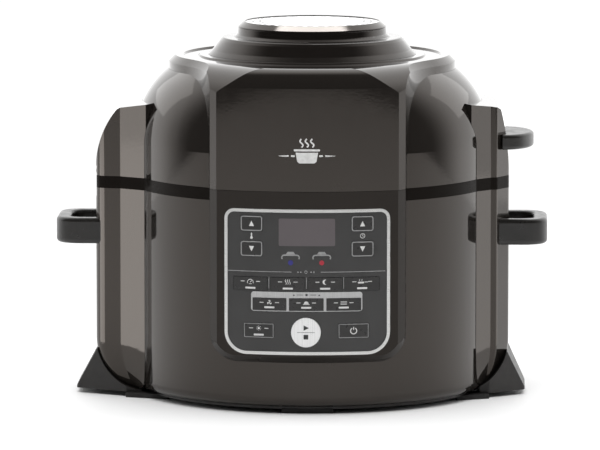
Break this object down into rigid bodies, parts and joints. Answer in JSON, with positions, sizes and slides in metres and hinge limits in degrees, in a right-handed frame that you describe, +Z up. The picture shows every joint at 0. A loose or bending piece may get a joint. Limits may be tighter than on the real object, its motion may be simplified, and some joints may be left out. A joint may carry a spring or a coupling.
{
  "type": "electric pressure cooker",
  "caption": "Round countertop multi-cooker with a hinged air-crisping lid, top fan grille, curved control panel on the front nose, side columns, loop handles and flared legs.",
  "frame": {"origin": "centre of the whole object's footprint, on the surface it stands on", "axes": "+Z up, -Y towards the front with the control panel, +X to the user's right; the lid hinges on the left side"},
  "size_m": [0.427, 0.3613, 0.3242],
  "materials": {
    "body_gloss": "warm dark grey moulded plastic with a high gloss",
    "band_gloss": "near-black gloss plastic",
    "handle_black": "satin black plastic",
    "matte_black": "fine-textured black plastic",
    "silver_trim": "satin silver plating",
    "grille_metal": "bright anodised aluminium",
    "panel_black": "black printed panel with a soft gloss",
    "key_cap": "black satin key caps with light symbols",
    "start_cap": "silver painted round key",
    "display_glass": "smoked display window",
    "rubber": "black rubber",
    "steel": "brushed steel",
    "pot_coating": "speckled dark grey ceramic non-stick coating",
    "cast_aluminium": "cast aluminium",
    "heater_metal": "oxidised heater sheath",
    "circuit_board": "green circuit board",
    "cup_clear": "smoked translucent plastic"
  },
  "bodies": {
    "base": {"base_shell": "body_gloss", "base_collar": "band_gloss", "base_tray": "matte_black", "base_screws": "steel", "left_column": "body_gloss", "right_column": "body_gloss", "front_housing": "body_gloss", "panel_bezel": "silver_trim", "panel_face": "panel_black", "display_lens": "display_glass", "panel_board": "circuit_board", "foot_pads": "rubber", "rear_vent": "matte_black", "cup_holder": "matte_black", "cord_gland": "matte_black", "cooking_pot": "pot_coating", "liner": "steel", "heater_plate": "cast_aluminium", "power_board": "circuit_board", "hinge_bracket": "steel", "hinge_pin": "steel", "left_handle": "handle_black", "right_handle": "handle_black", "left_leg": "matte_black", "right_leg": "matte_black"},
    "lid": {"lid_dome": "body_gloss", "lid_front": "body_gloss", "lid_left": "body_gloss", "lid_right": "body_gloss", "lid_grip": "handle_black", "fan_housing": "band_gloss", "grille_trim": "band_gloss", "top_grille": "grille_metal", "lid_reflector": "steel", "lid_screws": "steel", "guard_screen": "steel", "heating_coil": "heater_metal", "motor_bracket": "steel", "fan_motor": "steel", "hinge_arm": "steel"},
    "fan_rotor": {"motor_shaft": "steel", "convection_fan": "steel", "cooling_fan": "matte_black"},
    "drip_cup": {"condensation_cup": "cup_clear"},
    "sensor": {"pot_sensor": "cast_aluminium"},
    "temp_up_key": {"temp_up_key": "key_cap"},
    "temp_down_key": {"temp_down_key": "key_cap"},
    "time_up_key": {"time_up_key": "key_cap"},
    "time_down_key": {"time_down_key": "key_cap"},
    "pressure_key": {"pressure_key": "key_cap"},
    "steam_key": {"steam_key": "key_cap"},
    "slow_cook_key": {"slow_cook_key": "key_cap"},
    "sear_key": {"sear_key": "key_cap"},
    "air_crisp_key": {"air_crisp_key": "key_cap"},
    "roast_key": {"roast_key": "key_cap"},
    "grill_key": {"grill_key": "key_cap"},
    "keep_warm_key": {"keep_warm_key": "key_cap"},
    "power_key": {"power_key": "key_cap"},
    "start_key": {"start_key": "start_cap"}
  },
  "joints": [
    {"name": "lid_hinge", "type": "hinge", "parent": "base", "child": "lid", "pos_m": [-0.1745, -0.01965, 0.1956], "axis": [0, -1, 0], "range_deg": [0, 90]},
    {"name": "fan_spin", "type": "hinge", "parent": "lid", "child": "fan_rotor", "pos_m": [0.0085, -0.01965, 0.255], "axis": [0, 0, 1], "continuous": true},
    {"name": "drip_cup_slide", "type": "slide", "parent": "base", "child": "drip_cup", "axis": [0, 1, 0], "range_m": [0, 0.045]},
    {"name": "pot_sensor_travel", "type": "slide", "parent": "base", "child": "sensor", "axis": [0, 0, -1], "range_m": [0, 0.002], "stiffness_N_per_m": 800, "springref_m": -0.001},
    {"name": "temp_up_key_press", "type": "slide", "parent": "base", "child": "temp_up_key", "axis": [0, 1, 0], "range_m": [0, 0.0005], "stiffness_N_per_m": 1200, "springref_m": -0.0005},
    {"name": "temp_down_key_press", "type": "slide", "parent": "base", "child": "temp_down_key", "axis": [0, 1, 0], "range_m": [0, 0.0005], "stiffness_N_per_m": 1200, "springref_m": -0.0005},
    {"name": "time_up_key_press", "type": "slide", "parent": "base", "child": "time_up_key", "axis": [0, 1, 0], "range_m": [0, 0.0005], "stiffness_N_per_m": 1200, "springref_m": -0.0005},
    {"name": "time_down_key_press", "type": "slide", "parent": "base", "child": "time_down_key", "axis": [0, 1, 0], "range_m": [0, 0.0005], "stiffness_N_per_m": 1200, "springref_m": -0.0005},
    {"name": "pressure_key_press", "type": "slide", "parent": "base", "child": "pressure_key", "axis": [0, 1, 0], "range_m": [0, 0.0005], "stiffness_N_per_m": 1200, "springref_m": -0.0005},
    {"name": "steam_key_press", "type": "slide", "parent": "base", "child": "steam_key", "axis": [0, 1, 0], "range_m": [0, 0.0005], "stiffness_N_per_m": 1200, "springref_m": -0.0005},
    {"name": "slow_cook_key_press", "type": "slide", "parent": "base", "child": "slow_cook_key", "axis": [0, 1, 0], "range_m": [0, 0.0005], "stiffness_N_per_m": 1200, "springref_m": -0.0005},
    {"name": "sear_key_press", "type": "slide", "parent": "base", "child": "sear_key", "axis": [0, 1, 0], "range_m": [0, 0.0005], "stiffness_N_per_m": 1200, "springref_m": -0.0005},
    {"name": "air_crisp_key_press", "type": "slide", "parent": "base", "child": "air_crisp_key", "axis": [0, 1, 0], "range_m": [0, 0.0005], "stiffness_N_per_m": 1200, "springref_m": -0.0005},
    {"name": "roast_key_press", "type": "slide", "parent": "base", "child": "roast_key", "axis": [0, 1, 0], "range_m": [0, 0.0005], "stiffness_N_per_m": 1200, "springref_m": -0.0005},
    {"name": "grill_key_press", "type": "slide", "parent": "base", "child": "grill_key", "axis": [0, 1, 0], "range_m": [0, 0.0005], "stiffness_N_per_m": 1200, "springref_m": -0.0005},
    {"name": "keep_warm_key_press", "type": "slide", "parent": "base", "child": "keep_warm_key", "axis": [0, 1, 0], "range_m": [0, 0.0005], "stiffness_N_per_m": 1200, "springref_m": -0.0005},
    {"name": "power_key_press", "type": "slide", "parent": "base", "child": "power_key", "axis": [0, 1, 0], "range_m": [0, 0.0005], "stiffness_N_per_m": 1200, "springref_m": -0.0005},
    {"name": "start_key_press", "type": "slide", "parent": "base", "child": "start_key", "axis": [0, 1, 0], "range_m": [0, 0.0005], "stiffness_N_per_m": 1200, "springref_m": -0.0005}
  ]
}
